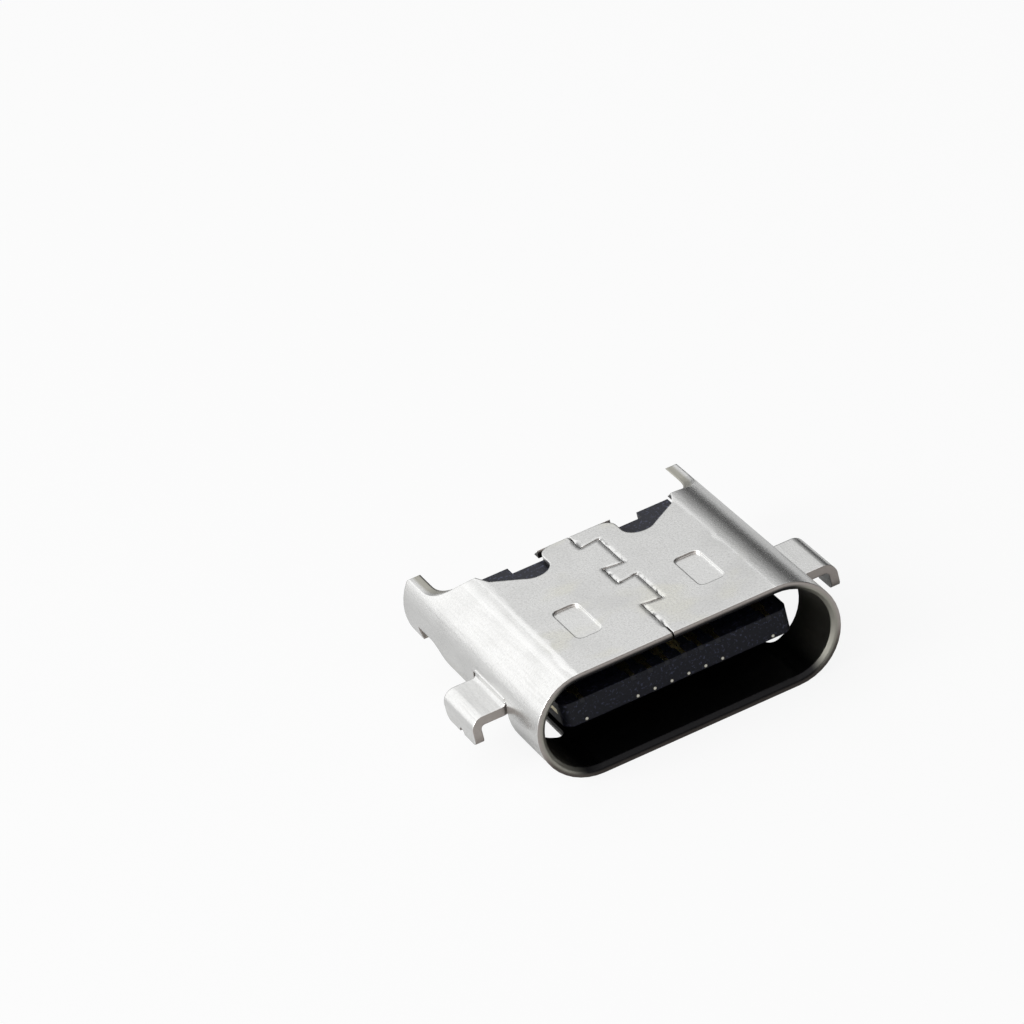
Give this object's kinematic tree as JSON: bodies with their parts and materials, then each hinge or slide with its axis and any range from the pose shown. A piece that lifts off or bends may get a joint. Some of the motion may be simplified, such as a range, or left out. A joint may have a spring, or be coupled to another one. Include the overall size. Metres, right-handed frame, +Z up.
{
  "type": "usb-c socket",
  "caption": "Mid-mount USB-C receptacle: folded metal shell with side tabs and rear legs, black tongue and gold contacts.",
  "frame": {"origin": "middle of the whole outline's footprint, on the plane of the shell's plain bottom face", "axes": "+X across the mouth, to the right for a viewer who faces the mouth; the mouth opens to -Y and the tails leave to +Y; +Z up towards the folded seam"},
  "size_m": [0.0108, 0.009, 0.0031],
  "materials": {
    "shell_metal": "satin nickel plate on folded steel",
    "black_moulding": "matt blue-black moulding",
    "plate_metal": "satin steel",
    "contact_gold": "pale gold plate"
  },
  "bodies": {
    "root": {"shell": "shell_metal", "housing": "black_moulding", "upper_wafer": "black_moulding", "lower_wafer": "black_moulding", "mid_plate": "plate_metal", "contact_a1": "contact_gold", "contact_b12": "contact_gold", "contact_a4": "contact_gold", "contact_b9": "contact_gold", "contact_b8": "contact_gold", "contact_a5": "contact_gold", "contact_b7": "contact_gold", "contact_a6": "contact_gold", "contact_a7": "contact_gold", "contact_b6": "contact_gold", "contact_a8": "contact_gold", "contact_b5": "contact_gold", "contact_b4": "contact_gold", "contact_a9": "contact_gold", "contact_b1": "contact_gold", "contact_a12": "contact_gold"}
  },
  "joints": []
}
